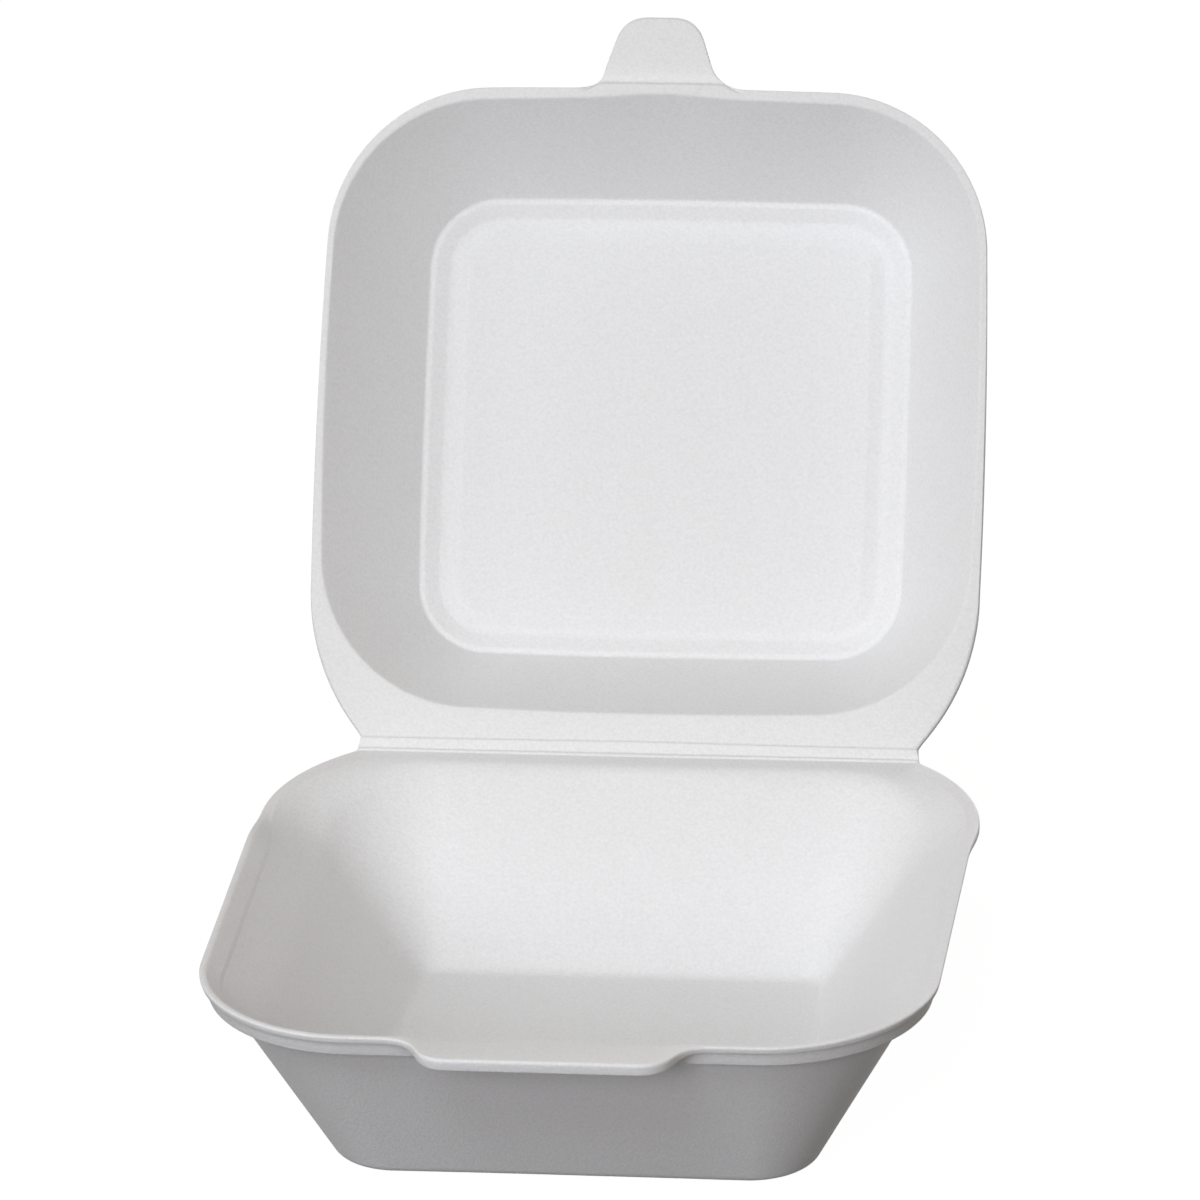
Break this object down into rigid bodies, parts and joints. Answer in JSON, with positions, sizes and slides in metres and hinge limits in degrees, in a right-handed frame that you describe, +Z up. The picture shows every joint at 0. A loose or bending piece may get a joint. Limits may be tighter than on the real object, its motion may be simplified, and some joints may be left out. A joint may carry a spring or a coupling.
{
  "type": "foam burger box",
  "caption": "Hinged takeaway box moulded from white foam, with a lid that nests inside the raised lip of a square tray and a tongue and front tab for opening.",
  "frame": {"origin": "middle of the tray's flat bottom face, on the surface that the box stands on", "axes": "+Z up, +X along the hinge to the right as seen from the front, +Y from the front tab towards the hinge"},
  "size_m": [0.15, 0.2419, 0.1727],
  "materials": {
    "foam": "matte white foam with a fine cell texture"
  },
  "bodies": {
    "tray": {"tray": "foam"},
    "lid": {"lid": "foam"}
  },
  "joints": [
    {"name": "lid_hinge", "type": "hinge", "parent": "tray", "child": "lid", "pos_m": [0, 0.0742, 0.03815], "axis": [-1, 0, 0], "range_deg": [-120, 60]}
  ]
}
